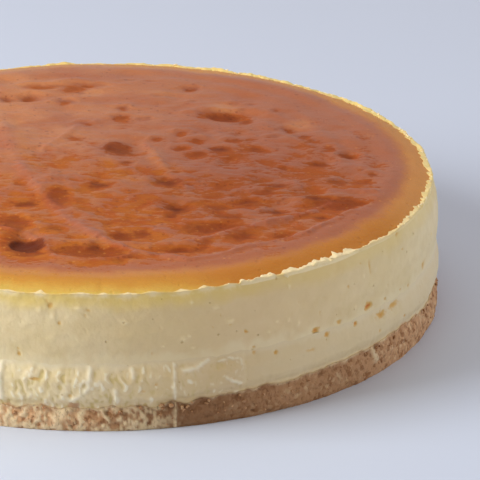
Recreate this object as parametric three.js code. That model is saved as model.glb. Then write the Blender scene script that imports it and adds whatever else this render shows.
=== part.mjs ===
// A whole baked lemon cheesecake: a pressed crumb base, a thin lower filling, and a deep upper filling
// whose top has browned, puffed and settled into blisters, wrinkles and a ragged lip.
// Millimetres, +Z up. The origin is the middle of the foot, and the front looks along -Y.

import * as THREE from 'three';
import { ImprovedNoise } from 'three/addons/math/ImprovedNoise.js';

// Driving dimensions
const cakeRadius = 127;
const baseTop = 11.6;
const levelLine = 25.7;
const lipHeight = 51.8;
const crownRise = 3.8;
const shoulderWidth = 16;
const leanBack = 3.2;
const leanRight = 0.5;
const layerGap = 0.3;

// The wall bulges a little: it is widest at this height and draws in towards the foot and the lip,
// most at the lip on the right, where the top has also sunk back from the tin
const widestHeight = 24;
const footInset = 0.2;
const lipInset = 0.8;
const rightInset = 2.1;
const rightSide = { degrees: 106, halfTurn: 55 };
const footRounding = 0.5;

// The tin's lining left a proud, creased band round the lower filling, between these angles from the front
const liningProud = 0.5;
const liningStart = - 172;
const liningEnd = 23;

// How finely the surfaces are divided
const wallSteps = 192;
const coreSteps = 32;
const coreRadius = 70;
const crownRings = 23;

// Colours as they look under soft light
const crumbColour = 0xc39a6c;
const lowerColour = 0xe9dcae;
const upperColour = 0xe6cf8f;

const noise = new ImprovedNoise();
const random = seededRandom( 1207 );

// Hollows that can be told apart on the browned top: place, reach and depth
const hollows = [
	{ x: - 27, y: - 75, reach: 6.5, depth: 3.4 },
	{ x: 10, y: 17, reach: 10, depth: 1.3 },
	{ x: 27, y: - 44, reach: 6.5, depth: 1.6 },
	{ x: 24, y: - 17, reach: 6.5, depth: 1.2 },
	{ x: 0, y: - 18, reach: 5.5, depth: 1.0 },
	{ x: 40, y: 19, reach: 5.5, depth: 1.2 },
	{ x: 51, y: 53, reach: 11, depth: 1.5 },
	{ x: 63, y: - 20, reach: 6, depth: 1.2 },
	{ x: 64, y: - 47, reach: 6.5, depth: 1.3 },
	{ x: 79, y: - 33, reach: 6.5, depth: 1.3 },
	{ x: 92, y: - 35, reach: 6, depth: 1.4 },
	{ x: 93, y: - 18, reach: 8, depth: 1.1 },
	{ x: 94, y: 10, reach: 5, depth: 1.2 },
	{ x: 83, y: 0, reach: 5, depth: 1.2 },
	{ x: 74, y: 34, reach: 7, depth: 1.2 },
	{ x: - 29, y: 76, reach: 6, depth: 1.3 },
	{ x: - 37, y: 75, reach: 5, depth: 1.1 },
	{ x: - 14, y: 74, reach: 5, depth: 0.9 },
];

// Holes where air lay against the tin, by angle from the front and height
const wallHoles = [
	{ degrees: - 8, height: 45.5, reach: 2.4, depth: 0.7 },
	{ degrees: 25, height: 26.2, reach: 2.2, depth: 0.8 },
	{ degrees: 38, height: 27.0, reach: 2.6, depth: 1.0 },
	{ degrees: 43, height: 26.8, reach: 2.4, depth: 0.9 },
	{ degrees: 50, height: 28.2, reach: 2.8, depth: 1.6 },
	{ degrees: 69, height: 29.5, reach: 2.6, depth: 0.9 },
];

// A shallow crack under the level line, longer than it is high
const wallCrack = { degrees: 56, height: 23.0, halfTurn: 3.2, halfHeight: 1.6, depth: 1.0 };

const crownRidge = new THREE.QuadraticBezierCurve(
	new THREE.Vector2( - 37, 37 ),
	new THREE.Vector2( - 26, - 20 ),
	new THREE.Vector2( 0, - 74 ),
);

const dimples = scatterDimples( 70 );
const lipFlecks = scatterFlecks( 64 );


function seededRandom( seed ) {

	let state = seed;

	return function () {

		state = ( state + 0x6d2b79f5 ) | 0;
		let mixed = Math.imul( state ^ ( state >>> 15 ), 1 | state );
		mixed = ( mixed + Math.imul( mixed ^ ( mixed >>> 7 ), 61 | mixed ) ) ^ mixed;
		return ( ( mixed ^ ( mixed >>> 14 ) ) >>> 0 ) / 4294967296;

	};

}

function between( low, high ) {

	return low + ( high - low ) * random();

}

// One at the middle of a bump, falling to nothing a little past its reach
function bump( distance, reach ) {

	return Math.exp( - ( ( distance / reach ) ** 2 ) );

}

// Angles run from the front towards +X
function turnBetween( angle, degrees ) {

	const turn = THREE.MathUtils.radToDeg( angle ) - degrees;
	return turn - 360 * Math.round( turn / 360 );

}

function pointAt( radius, angle, z ) {

	return new THREE.Vector3( radius * Math.sin( angle ), - radius * Math.cos( angle ), z );

}

// Noise on a cylinder: the grain is so many millimetres wide round the cake and so many high
function wallNoise( angle, z, width, height, layer ) {

	const turn = cakeRadius / width;
	return noise.noise( turn * Math.sin( angle ) + layer, - turn * Math.cos( angle ), z / height + layer );

}

function scatterDimples( count ) {

	const spots = [];

	for ( let i = 0; i < count; i ++ ) {

		const radius = cakeRadius * 0.84 * Math.sqrt( random() );
		const place = pointAt( radius, between( 0, 2 * Math.PI ), 0 );
		spots.push( { x: place.x, y: place.y, reach: between( 3.5, 6 ), depth: between( - 0.5, 0.9 ) } );

	}

	return spots;

}

function scatterFlecks( count ) {

	const flecks = [];

	for ( let i = 0; i < count; i ++ ) {

		const degrees = ( i + between( - 0.45, 0.45 ) ) * 360 / count;
		flecks.push( { degrees, halfTurn: between( 0.9, 2.6 ), rise: between( 0.1, 1.1 ) } );

	}

	return flecks;

}

// The base is deeper towards the right of the front, and uneven all round
function baseHeight( angle ) {

	const deepSide = 1.5 * Math.exp( - ( ( turnBetween( angle, 62 ) / 42 ) ** 2 ) );
	const shallowSide = 1.6 * Math.exp( - ( ( turnBetween( angle, - 25 ) / 50 ) ** 2 ) );
	const waves = 0.7 * wallNoise( angle, 0, 24, 1, 3.1 ) + 0.5 * wallNoise( angle, 0, 7, 1, 8.4 );
	return baseTop + deepSide - shallowSide + waves;

}

function levelHeight( angle ) {

	return levelLine + 0.35 * wallNoise( angle, 0, 30, 1, 5.7 );

}

function wallRadius( angle, z ) {

	const away = turnBetween( angle, rightSide.degrees ) / rightSide.halfTurn;
	const upperInset = lipInset + rightInset * bump( away, 1 );
	const inset = z < widestHeight ? footInset : upperInset;
	const span = z < widestHeight ? widestHeight : lipHeight - widestHeight;
	return cakeRadius - inset * ( ( z - widestHeight ) / span ) ** 2;

}

function wallDents( angle, z ) {

	let dent = 0;

	for ( const hole of wallHoles ) {

		const along = THREE.MathUtils.degToRad( turnBetween( angle, hole.degrees ) ) * cakeRadius;
		dent += hole.depth * bump( Math.hypot( along, z - hole.height ), hole.reach );

	}

	const crackTurn = turnBetween( angle, wallCrack.degrees ) / wallCrack.halfTurn;
	const crackRise = ( z - wallCrack.height ) / wallCrack.halfHeight;
	return dent + wallCrack.depth * bump( Math.hypot( crackTurn, crackRise ), 1 );

}

function upperWall( angle, z ) {

	const wave = 0.22 * wallNoise( angle, z, 38, 22, 1.3 ) + 0.1 * wallNoise( angle, z, 9, 8, 6.1 );
	return wallRadius( angle, z ) + wave - wallDents( angle, z );

}

// Creases of the lining run up and down, and past its end the wall is nearly smooth
function lowerWall( angle, z ) {

	const turn = turnBetween( angle, 0 );
	const lined = turn > liningStart && turn < liningEnd;
	const creases = 0.4 * wallNoise( angle, z, 5, 26, 2.6 ) + 0.2 * wallNoise( angle, z, 8, 6, 9.2 );
	const smooth = 0.2 * wallNoise( angle, z, 24, 14, 2.6 );
	return wallRadius( angle, z ) + ( lined ? liningProud + creases : smooth ) - wallDents( angle, z );

}

function crumbWall( angle, z ) {

	const crags = 0.5 * wallNoise( angle, z, 7, 5, 4.4 ) + 0.4 * wallNoise( angle, z, 4.3, 3.4, 7.7 );
	return wallRadius( angle, z ) + crags;

}

function lipAt( angle ) {

	let rise = 0;

	for ( const fleck of lipFlecks ) {

		rise = Math.max( rise, fleck.rise * bump( turnBetween( angle, fleck.degrees ), fleck.halfTurn ) );

	}

	const wave = 0.35 * wallNoise( angle, 0, 16, 1, 12.3 );
	return { rise, radius: wallRadius( angle, lipHeight ) - 0.4 + 0.5 * rise + wave };

}

// The cake rose unevenly, so the lip lies lower behind than in front, and a little lower on the right
function topLevel( x, y ) {

	return lipHeight - leanBack * ( y + cakeRadius ) / ( 2 * cakeRadius ) - leanRight * x / cakeRadius;

}

// Fine rings left as the top settled, strongest a little inside the shoulder
function wrinkles( x, y ) {

	const drift = 5 * noise.noise( x / 38, y / 38, 20.5 ) + 2 * noise.noise( x / 13, y / 13, 31.5 );
	const radius = Math.hypot( x, y );
	const strength = 0.25 + 0.75 * Math.exp( - ( ( ( radius - 0.73 * cakeRadius ) / 20 ) ** 2 ) );
	return strength * Math.sin( ( radius + drift ) * 2 * Math.PI / 10.5 );

}

function ridgeHeight( x, y ) {

	const steps = 24;
	let nearest = Infinity;

	for ( let i = 0; i <= steps; i ++ ) {

		const spot = crownRidge.getPoint( i / steps );
		nearest = Math.min( nearest, Math.hypot( spot.x - x, spot.y - y ) );

	}

	return 0.9 * bump( nearest, 4.5 );

}

// Each hollow sinks inside a low raised rim
function hollowDepth( x, y, spot ) {

	const away = Math.hypot( x - spot.x, y - spot.y ) / spot.reach;
	return spot.depth * ( bump( away, 0.8 ) - 0.28 * bump( away - 1.35, 0.5 ) );

}

function crownRelief( x, y ) {

	let relief = 0.8 * noise.noise( x / 34, y / 34, 3.5 ) + 0.45 * noise.noise( x / 15, y / 15, 9.5 );
	relief += 0.45 * wrinkles( x, y ) + ridgeHeight( x, y );

	for ( const spot of hollows ) {

		relief -= hollowDepth( x, y, spot );

	}

	for ( const spot of dimples ) {

		relief -= hollowDepth( x, y, spot );

	}

	return relief;

}

// Height of the browned top: the shoulder climbs from the lip and levels out into the crown
function crownHeight( x, y, lipRadius ) {

	const inside = THREE.MathUtils.clamp( ( lipRadius - Math.hypot( x, y ) ) / shoulderWidth, 0, 1 );
	const climb = 1 - ( 1 - inside ) ** 2;
	return topLevel( x, y ) + crownRise * climb + crownRelief( x, y ) * inside;

}


// A closed body made of rings, one above the other or one inside the other, from the middle of its underside,
// up its wall, to the middle of its top. Neighbouring rings may have different numbers of points.
class RingBody extends THREE.BufferGeometry {

	constructor( rings ) {

		super();

		const positions = [];
		const triangles = [];
		const starts = [];

		for ( const ring of rings ) {

			starts.push( positions.length / 3 );

			for ( const point of ring ) {

				positions.push( point.x, point.y, point.z );

			}

		}

		for ( let i = 1; i < rings.length; i ++ ) {

			RingBody.stitch( starts[ i - 1 ], rings[ i - 1 ].length, starts[ i ], rings[ i ].length, triangles );

		}

		this.setAttribute( 'position', new THREE.Float32BufferAttribute( positions, 3 ) );
		this.setIndex( triangles );
		this.computeVertexNormals();

	}

	// Fills the band between two rings, always stepping along the ring that lags behind
	static stitch( startA, countA, startB, countB, triangles ) {

		const stepsA = countA > 1 ? countA : 0;
		const stepsB = countB > 1 ? countB : 0;
		let a = 0;
		let b = 0;

		while ( a < stepsA || b < stepsB ) {

			const pointA = startA + a % countA;
			const pointB = startB + b % countB;

			if ( b === stepsB || ( a < stepsA && ( a + 1 ) * stepsB <= ( b + 1 ) * stepsA ) ) {

				a ++;
				triangles.push( pointA, startA + a % countA, pointB );

			} else {

				b ++;
				triangles.push( pointA, startB + b % countB, pointB );

			}

		}

	}

}

// A ring of points whose radius and height may change with the angle
function ring( steps, radiusAt, heightAt ) {

	const points = [];

	for ( let i = 0; i < steps; i ++ ) {

		const angle = i / steps * 2 * Math.PI;
		points.push( pointAt( radiusAt( angle ), angle, heightAt( angle ) ) );

	}

	return points;

}

// Where two layers meet, both follow the same uneven edge, half a gap apart
function layerFace( edgeHeight, middleHeight, shift, edgeRadius ) {

	return [
		[ new THREE.Vector3( 0, 0, middleHeight + shift ) ],
		ring( coreSteps, () => coreRadius, () => middleHeight + shift ),
		ring( wallSteps, () => edgeRadius, ( angle ) => edgeHeight( angle ) + shift ),
	];

}

function wallRings( rows, radiusAt, lowerEdge, upperEdge ) {

	return rows.map( ( share ) => {

		const heightAt = ( angle ) => THREE.MathUtils.lerp( lowerEdge( angle ), upperEdge( angle ), share );
		return ring( wallSteps, ( angle ) => radiusAt( angle, heightAt( angle ) ), heightAt );

	} );

}

const seamRadius = cakeRadius - footInset - 1.6;
const halfGap = layerGap / 2;

function makeCrumbBase() {

	const foot = [
		[ new THREE.Vector3( 0, 0, 0 ) ],
		ring( wallSteps, ( angle ) => crumbWall( angle, 0 ) - footRounding, () => 0 ),
	];
	const top = ( angle ) => baseHeight( angle ) - halfGap;
	const wall = wallRings( [ 0.1, 0.4, 0.7, 0.93 ], crumbWall, () => 0, top );
	const upperFace = layerFace( baseHeight, baseTop, - halfGap, seamRadius ).reverse();

	return new RingBody( [ ...foot, ...wall, ...upperFace ] );

}

function makeLowerFilling() {

	const low = ( angle ) => baseHeight( angle ) + halfGap;
	const high = ( angle ) => levelHeight( angle ) - halfGap;
	const wall = wallRings( [ 0.03, 0.25, 0.5, 0.75, 0.97 ], lowerWall, low, high );

	return new RingBody( [
		...layerFace( baseHeight, baseTop, halfGap, seamRadius ),
		...wall,
		...layerFace( levelHeight, levelLine, - halfGap, seamRadius ).reverse(),
	] );

}

function makeUpperFilling() {

	const low = ( angle ) => levelHeight( angle ) + halfGap;
	const high = ( angle ) => {

		const place = pointAt( cakeRadius, angle, 0 );
		return topLevel( place.x, place.y );

	};

	const wall = wallRings( [ 0.02, 0.14, 0.3, 0.48, 0.66, 0.82, 0.93 ], upperWall, low, high );

	const lip = ring( wallSteps, lipFollower( 0 ), ( angle ) => high( angle ) + lipAt( angle ).rise );
	const crown = [ 1.6, 4.5, 8.2, 12.2 ].map( ( inset ) => crownRing( wallSteps, lipFollower( inset ) ) );

	for ( let i = crownRings; i > 0; i -- ) {

		crown.push( crownRing( 6 * i, () => ( cakeRadius - shoulderWidth - 2.5 ) * i / crownRings ) );

	}

	crown.push( [ new THREE.Vector3( 0, 0, crownHeight( 0, 0, cakeRadius ) ) ] );

	const lowerFace = layerFace( levelHeight, levelLine, halfGap, seamRadius );
	return new RingBody( [ ...lowerFace, ...wall, lip, ...crown ] );

}

function lipFollower( inset ) {

	return ( angle ) => lipAt( angle ).radius - inset;

}

function crownRing( steps, radiusAt ) {

	const heightAt = ( angle ) => {

		const place = pointAt( radiusAt( angle ), angle, 0 );
		return crownHeight( place.x, place.y, lipAt( angle ).radius );

	};

	return ring( steps, radiusAt, heightAt );

}

function layer( name, geometry, colour, roughness ) {

	const material = new THREE.MeshStandardMaterial( { color: colour, roughness, metalness: 0 } );
	const mesh = new THREE.Mesh( geometry, material );
	mesh.name = name;
	return mesh;

}

const cheesecake = new THREE.Group();
cheesecake.name = 'lemon_cheesecake';
cheesecake.add( layer( 'crumb_base', makeCrumbBase(), crumbColour, 0.9 ) );
cheesecake.add( layer( 'lower_filling', makeLowerFilling(), lowerColour, 0.6 ) );
cheesecake.add( layer( 'upper_filling', makeUpperFilling(), upperColour, 0.35 ) );

export default cheesecake;
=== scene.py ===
# A whole baked lemon cheesecake: a pressed crumb base, two pours of filling and a browned top.
# Metres, +Z up, and the front looks along -Y. A turn is an angle round the cake, from the front towards +X.

import math

import bmesh
import bpy
import numpy as np
from mathutils import Matrix, Vector, noise
from mathutils.bvhtree import BVHTree


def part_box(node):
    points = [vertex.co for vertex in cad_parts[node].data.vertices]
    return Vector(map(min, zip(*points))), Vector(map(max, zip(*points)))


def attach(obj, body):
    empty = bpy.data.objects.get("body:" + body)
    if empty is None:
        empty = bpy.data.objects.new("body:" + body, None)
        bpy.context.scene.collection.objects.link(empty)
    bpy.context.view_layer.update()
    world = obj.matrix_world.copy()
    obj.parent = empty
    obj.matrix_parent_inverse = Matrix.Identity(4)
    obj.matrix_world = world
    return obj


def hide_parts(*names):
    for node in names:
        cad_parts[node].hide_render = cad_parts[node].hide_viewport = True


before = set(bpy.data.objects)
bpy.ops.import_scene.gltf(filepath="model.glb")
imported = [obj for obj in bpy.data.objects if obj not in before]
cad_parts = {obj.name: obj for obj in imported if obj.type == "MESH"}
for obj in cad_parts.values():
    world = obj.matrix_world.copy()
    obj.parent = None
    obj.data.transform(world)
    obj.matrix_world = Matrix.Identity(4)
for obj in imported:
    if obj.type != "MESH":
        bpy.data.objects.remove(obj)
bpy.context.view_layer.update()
scene = bpy.context.scene
mm = 0.001
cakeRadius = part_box("crumb_base")[1].x
inner = cakeRadius - 12 * mm     # where the hidden rings lie
aboveCake = 0.1                  # a height clear of the cake
fullTurn = 2 * math.pi
wallCount = round(fullTurn * cakeRadius / (0.6 * mm))     # points in each ring of a wall
fineSteps = 1440                 # turns at which a line round the cake is read
print("frame loaded:", ", ".join(sorted(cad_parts)))


# Numbers and noise

def smoothStep(low, high, value):
    t = np.clip((value - low) / (high - low), 0, 1)
    return t * t * (3 - 2 * t)


def hump(distance, reach):
    return np.exp(-(distance / reach) ** 2)


def degreesFrom(turn, degrees):
    # how far round the wall from a place, from -180 to 180
    away = np.degrees(turn) - degrees
    return away - 360 * np.round(away / 360)


def alongWall(turn, degrees):
    # the same in metres round the wall
    return np.radians(degreesFrom(turn, degrees)) * cakeRadius


def byDegrees(turn, table):
    # a value from a table by degrees from the front
    return np.interp(degreesFrom(turn, 0), list(table), list(table.values()))


def noiseAt(spots):
    return np.array([noise.noise(spot) for spot in spots.tolist()])


def lumps(places, size, seed=0.0):
    # smooth noise from about -1 to 1, its lumps so many mm across
    return noiseAt(places / (size * mm) + np.array([seed, 1.7 * seed, -seed]))


def wallLumps(turn, height, width, tall, seed=0.0):
    # the same on the wall: lumps so many mm wide round the cake, and so many tall
    around, up = cakeRadius / (width * mm), height / (tall * mm)
    return noiseAt(np.stack([np.sin(turn) * around + seed, -np.cos(turn) * around, up + seed], 1))


def layered(turn, height, layers, start=0.0):
    # several such noises: how much of each, its width and height in mm, and its seed
    total = start
    for share, width, tall, seed in layers:
        total = total + share * wallLumps(turn, height, width, tall, seed)
    return total


def roundLine(turns, values):
    # a value all round the cake, as a function of the turn
    return lambda turn: np.interp(turn, turns, values, period=fullTurn)


def evened(values, rounds, step=1):
    # each value round the cake moves towards its neighbours, so many times
    for _ in range(rounds):
        values = 0.25 * np.roll(values, step) + 0.5 * values + 0.25 * np.roll(values, -step)
    return values


def awayFromLine(spots, line):
    # distance from each flat spot to a line through the given points
    nearest = np.full(len(spots), np.inf)
    for start, end in zip(np.array(line[:-1]), np.array(line[1:])):
        along = end - start
        t = np.clip((spots - start) @ along / (along @ along), 0, 1)
        nearest = np.minimum(nearest, np.hypot(*(spots - start - t[:, None] * along).T))
    return nearest


# Rings and shells

def ringOf(count, radius, height):
    # points round the cake; radius and height are numbers or functions of the turn
    turn = np.arange(count) * fullTurn / count
    r, z = (size(turn) if callable(size) else np.full(count, size, float) for size in (radius, height))
    return {"turn": turn, "place": np.stack([np.sin(turn) * r, -np.cos(turn) * r, z], 1)}


def hiddenFace(line, setBack, rises):
    # rings from the middle out over a face inside the cake, so many mm above a line round the cake
    sizes = ((1, 0), (wallCount // 8, inner), (wallCount, cakeRadius - setBack))
    return [ringOf(count, radius, lambda t: line(t) + rise * mm)
            for (count, radius), rise in zip(sizes, rises)]


def rowsOf(shell, first, end):
    # which points lie in the rings from the first up to the end
    return (shell["row"] >= first) & (shell["row"] < end)


def wallHit(tree, turn, height):
    # where a level line from outside meets a solid's wall, and the way outward there
    outward = Vector((math.sin(turn), -math.cos(turn), 0))
    start = outward * (cakeRadius + 10 * mm) + Vector((0, 0, height))
    return tree.ray_cast(start, -outward, 20 * mm)[0], outward


def ontoWall(tree, ring, edges):
    # moves a ring onto the solid's wall, read between the wall's own edges, and evens its facets out
    turn, place = ring["turn"], ring["place"]
    margin = 0.15 * mm
    heights = np.clip(place[:, 2], edges[0](turn) + margin, edges[1](turn) - margin)
    radius = np.full(len(turn), cakeRadius)
    for i in range(len(turn)):
        hit, _ = wallHit(tree, turn[i], heights[i])
        if hit is not None:
            radius[i] = hit.xy.length
    radius = evened(radius, 24)
    place[:, 0], place[:, 1] = np.sin(turn) * radius, -np.cos(turn) * radius
    return ring


def wallRings(tree, rows, edges, span):
    # rings up a wall over its span, close together at both ends so that the corners stay crisp
    shares = np.concatenate([[0, 0.012], np.linspace(0.04, 0.96, rows - 4), [0.988, 1]])
    rings = []
    for share in shares:
        ring = ringOf(wallCount, cakeRadius, lambda t: span[0](t) * (1 - share) + span[1](t) * share)
        rings.append(ontoWall(tree, ring, edges))
    return rings


def wallLine(tree, edges, height):
    # radius of a solid's wall at one height, as a function of the turn
    ring = ontoWall(tree, ringOf(fineSteps, cakeRadius, height), edges)
    return roundLine(ring["turn"], np.hypot(*ring["place"][:, :2].T))


def drawnTo(ring, line, share):
    # moves a ring towards another wall's radius, so that the two meet flush
    radius = np.hypot(*ring["place"][:, :2].T)
    ring["place"][:, :2] *= (1 + share * (line(ring["turn"]) / radius - 1))[:, None]
    return ring


def ontoTop(ring):
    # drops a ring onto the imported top
    for i, (x, y, z) in enumerate(ring["place"]):
        hit = upperTree.ray_cast(Vector((x, y, aboveCake)), Vector((0, 0, -1)))[0]
        if hit is not None:
            ring["place"][i, 2] = hit.z
    return ring


def stitch(startA, countA, startB, countB, triangles):
    # fills the band between two rings, stepping along whichever lags behind
    stepsA = countA if countA > 1 else 0
    stepsB = countB if countB > 1 else 0
    a = b = 0
    while a < stepsA or b < stepsB:
        pointA, pointB = startA + a % countA, startB + b % countB
        if b == stepsB or (a < stepsA and (a + 1) * stepsB <= (b + 1) * stepsA):
            a += 1
            triangles.append((pointA, startA + a % countA, pointB))
        else:
            b += 1
            triangles.append((pointA, startB + b % countB, pointB))


def shellOf(rings):
    # one closed shell, from the middle of the underside, up the outside, to the middle of the top
    counts = [len(ring["turn"]) for ring in rings]
    starts = np.concatenate([[0], np.cumsum(counts)]).tolist()
    triangles = []
    for i in range(len(rings) - 1):
        stitch(starts[i], counts[i], starts[i + 1], counts[i + 1], triangles)
    shell = {key: np.concatenate([ring[key] for ring in rings]) for key in ("turn", "place")}
    shell["row"] = np.repeat(np.arange(len(rings)), counts)
    shell["triangles"] = np.array(triangles)
    pairs = np.sort(np.concatenate([shell["triangles"][:, [i, (i + 1) % 3]] for i in range(3)]), axis=1)
    shell["edges"] = np.unique(pairs, axis=0)
    return shell


def smoothed(shell, values, times, free):
    # each free value moves towards the mean of its neighbours
    a, b = shell["edges"].T
    count = len(values)
    neighbours = np.bincount(a, minlength=count) + np.bincount(b, minlength=count)
    for _ in range(times):
        total = np.bincount(a, values[b], count) + np.bincount(b, values[a], count)
        values = values + 0.5 * free * (total / neighbours - values)
    return values


def normalsOf(shell):
    t, p = shell["triangles"], shell["place"]
    faceNormals = np.cross(p[t[:, 1]] - p[t[:, 0]], p[t[:, 2]] - p[t[:, 0]])
    normals = np.zeros_like(p)
    for corner in range(3):
        for axis in range(3):
            normals[:, axis] += np.bincount(t[:, corner], faceNormals[:, axis], len(p))
    return normals / np.maximum(np.linalg.norm(normals, axis=1), 1e-12)[:, None]


def raiseBy(shell, relief):
    shell["place"] = shell["place"] + normalsOf(shell) * relief[:, None]


def makePiece(name, shell, material, masks, replaces=None):
    # the masks are numbers at each point that the material reads by name
    mesh = bpy.data.meshes.new(name)
    mesh.from_pydata(shell["place"].tolist(), [], shell["triangles"].tolist())
    mesh.materials.append(material)
    for mask, values in masks.items():
        mesh.attributes.new(mask, "FLOAT", "POINT").data.foreach_set("value", values.astype(np.float32))
    mesh.shade_smooth()
    mesh.set_sharp_from_angle(angle=math.radians(60))
    mesh.update()
    piece = bpy.data.objects.new(name, mesh)
    scene.collection.objects.link(piece)
    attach(piece, "root")
    if replaces:
        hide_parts(replaces)
    return piece


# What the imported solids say

def solidTree(node):
    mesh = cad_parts[node].data
    return BVHTree.FromPolygons([v.co for v in mesh.vertices], [p.vertices for p in mesh.polygons])


def seamHeight(tree, under):
    # height of a solid's under or upper face just inside its wall, as a function of the turn
    turns = np.linspace(0, fullTurn, 720, endpoint=False)
    start, way = (-0.01, 1) if under else (aboveCake, -1)
    inside = cakeRadius - 2 * mm
    heights = []
    for turn in turns:
        spot = Vector((math.sin(turn) * inside, -math.cos(turn) * inside, start))
        heights.append(tree.ray_cast(spot, Vector((0, 0, way)))[0].z)
    return roundLine(turns, heights)


def lipLine(node, sectors=180):
    # radius and height of the corner between wall and top, as functions of the turn
    corners = np.array([v.co[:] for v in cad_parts[node].data.vertices])
    radius = np.hypot(corners[:, 0], corners[:, 1])
    turn = np.arctan2(corners[:, 0], -corners[:, 1]) % fullTurn
    sector = (turn * sectors / fullTurn).astype(int)
    lip = []
    for i in range(sectors):
        inSector = np.nonzero(sector == i)[0]
        lip.append(inSector[np.argmax((radius + corners[:, 2])[inSector])])
    fine = np.arange(fineSteps) * fullTurn / fineSteps
    lines = [roundLine(turn[lip], values)(fine) for values in (radius[lip], corners[lip, 2])]
    return [roundLine(fine, evened(line, 12, 2)) for line in lines]


upperTree = solidTree("upper_filling")
lowerTree = solidTree("lower_filling")
baseTree = solidTree("crumb_base")
lipRadius, lipHeight = lipLine("upper_filling")
upperUnder = seamHeight(upperTree, True)
lowerUnder = seamHeight(lowerTree, True)
lowerOver = seamHeight(lowerTree, False)
baseOver = seamHeight(baseTree, False)
meanLip = float(np.mean(lipHeight(np.linspace(0, 6, 100))))     # over most of the way round


def wavy(turn, rise, seed):
    # an uneven line round the cake
    return rise * layered(turn, 0 * turn, ((1, 7, 1, seed), (0.5, 2.2, 1, seed + 4)))


# How far the cream reaches down over the crumb at the wall, in mm by degrees from the front
creamReach = {-180: 1.3, -20: 1.5, 2: 1.8, 10: 2.0, 14: 2.4, 17: 2.4, 21: 1.4, 26: 1.0, 30: 1.6,
              36: 1.4, 46: 1.0, 54: 0.9, 62: 1.5, 70: 2.2, 78: 2.0, 110: 1.4, 180: 1.3}


def baseSeam(turn):
    between = (baseOver(turn) + lowerUnder(turn)) / 2
    return between - byDegrees(turn, creamReach) * mm + wavy(turn, 1.2 * mm, 6.1)


def levelSeam(turn):
    return (lowerOver(turn) + upperUnder(turn)) / 2 + wavy(turn, 0.9 * mm, 3.3)


def floorLine(turn):
    return 0 * turn


def betweenLines(lineA, lineB):
    return lambda turn: (lineA(turn) + lineB(turn)) / 2


# Where two walls meet, each is drawn to a line half way between them
lowerEdges = (lowerUnder, lowerOver)
baseLine = betweenLines(wallLine(baseTree, (floorLine, baseOver), baseOver),
                        wallLine(lowerTree, lowerEdges, lowerUnder))
levelLine = betweenLines(wallLine(lowerTree, lowerEdges, lowerOver),
                         wallLine(upperTree, (upperUnder, lipHeight), upperUnder))


# Material tools

class Nodes:
    # short ways to add and join nodes in one tree

    def __init__(self, tree):
        self.tree = tree

    def add(self, kind, inputs=None, **settings):
        node = self.tree.nodes.new(kind)
        for key, value in settings.items():
            setattr(node, key, value)
        for key, value in (inputs or {}).items():
            self.put(node.inputs[key], value)
        return node

    def put(self, socket, value):
        if isinstance(value, bpy.types.NodeSocket):
            self.tree.links.new(value, socket)
        else:
            socket.default_value = value

    def math(self, operation, a, b=0.0, c=0.0):
        node = self.add("ShaderNodeMath", operation=operation)
        for socket, value in zip(node.inputs, (a, b, c)):
            self.put(socket, value)
        return node.outputs[0]

    def times(self, a, b):
        return self.math("MULTIPLY", a, b)

    def mix(self, factor, a, b):
        node = self.add("ShaderNodeMix", data_type="RGBA")
        for i, value in ((0, factor), (6, a), (7, b)):
            self.put(node.inputs[i], value)
        return node.outputs[2]

    def between(self, value, low, high, fromValue=0.0, toValue=1.0):
        node = self.add("ShaderNodeMapRange", interpolation_type="SMOOTHSTEP")
        for i, number in enumerate((value, low, high, fromValue, toValue)):
            self.put(node.inputs[i], number)
        return node.outputs[0]

    def ramp(self, value, stops):
        node = self.add("ShaderNodeValToRGB")
        elements = node.color_ramp.elements
        while len(elements) < len(stops):
            elements.new(0.5)
        for element, (place, colour) in zip(elements, stops):
            element.position = place
            element.color = colour
        self.put(node.inputs[0], value)
        return node.outputs[0]

    def noise(self, size, detail=3.0, roughness=0.5, stretch=None):
        # cloudy noise, its lumps so many millimetres across, drawn out by the stretch along x, y and z
        place = self.place()
        if stretch:
            place = self.add("ShaderNodeVectorMath", {0: place, 1: stretch}, operation="DIVIDE").outputs[0]
        settings = {"Vector": place, "Scale": 1000.0 / size, "Detail": detail, "Roughness": roughness}
        return self.add("ShaderNodeTexNoise", settings).outputs[0]

    def cells(self, size):
        return self.add("ShaderNodeTexVoronoi", {"Vector": self.place(), "Scale": 1000.0 / size}).outputs

    def place(self):
        return self.add("ShaderNodeTexCoord").outputs["Object"]

    def mask(self, name):
        return self.add("ShaderNodeAttribute", attribute_name=name).outputs["Fac"]

    def group(self, tree, **values):
        node = self.add("ShaderNodeGroup", node_tree=tree)
        for key, value in values.items():
            self.put(node.inputs[key], value)
        return node.outputs

    def tint(self, colour, other, mask, most):
        # the colour goes over to another, at most so far, where a mask is strong
        return self.mix(self.times(self.mask(mask), most), colour, other)

    def clouded(self, colour, drift, scale, strength):
        return self.group(mottle, Colour=colour, Drift=drift, Scale=scale, Strength=strength)["Colour"]

    def dots(self, scale, size, share):
        return self.group(pinholes, Scale=scale, Size=size, Share=share)["Mask"]

    def bump(self, height, distance, strength):
        settings = {"Height": height, "Distance": distance, "Strength": strength}
        return self.add("ShaderNodeBump", settings).outputs["Normal"]


def asSeen(red, green, blue):
    # a colour as a screen shows it, 0 to 255, turned into light
    parts = [c / 255 for c in (red, green, blue)]
    return tuple(c / 12.92 if c <= 0.04045 else ((c + 0.055) / 1.055) ** 2.4 for c in parts) + (1.0,)


def newMaterial(name, shader):
    material = bpy.data.materials.new(name)
    material.use_nodes = True
    principled = material.node_tree.nodes["Principled BSDF"]
    for key, value in shader.items():
        principled.inputs[key].default_value = value
    return material, Nodes(material.node_tree), principled.inputs


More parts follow.
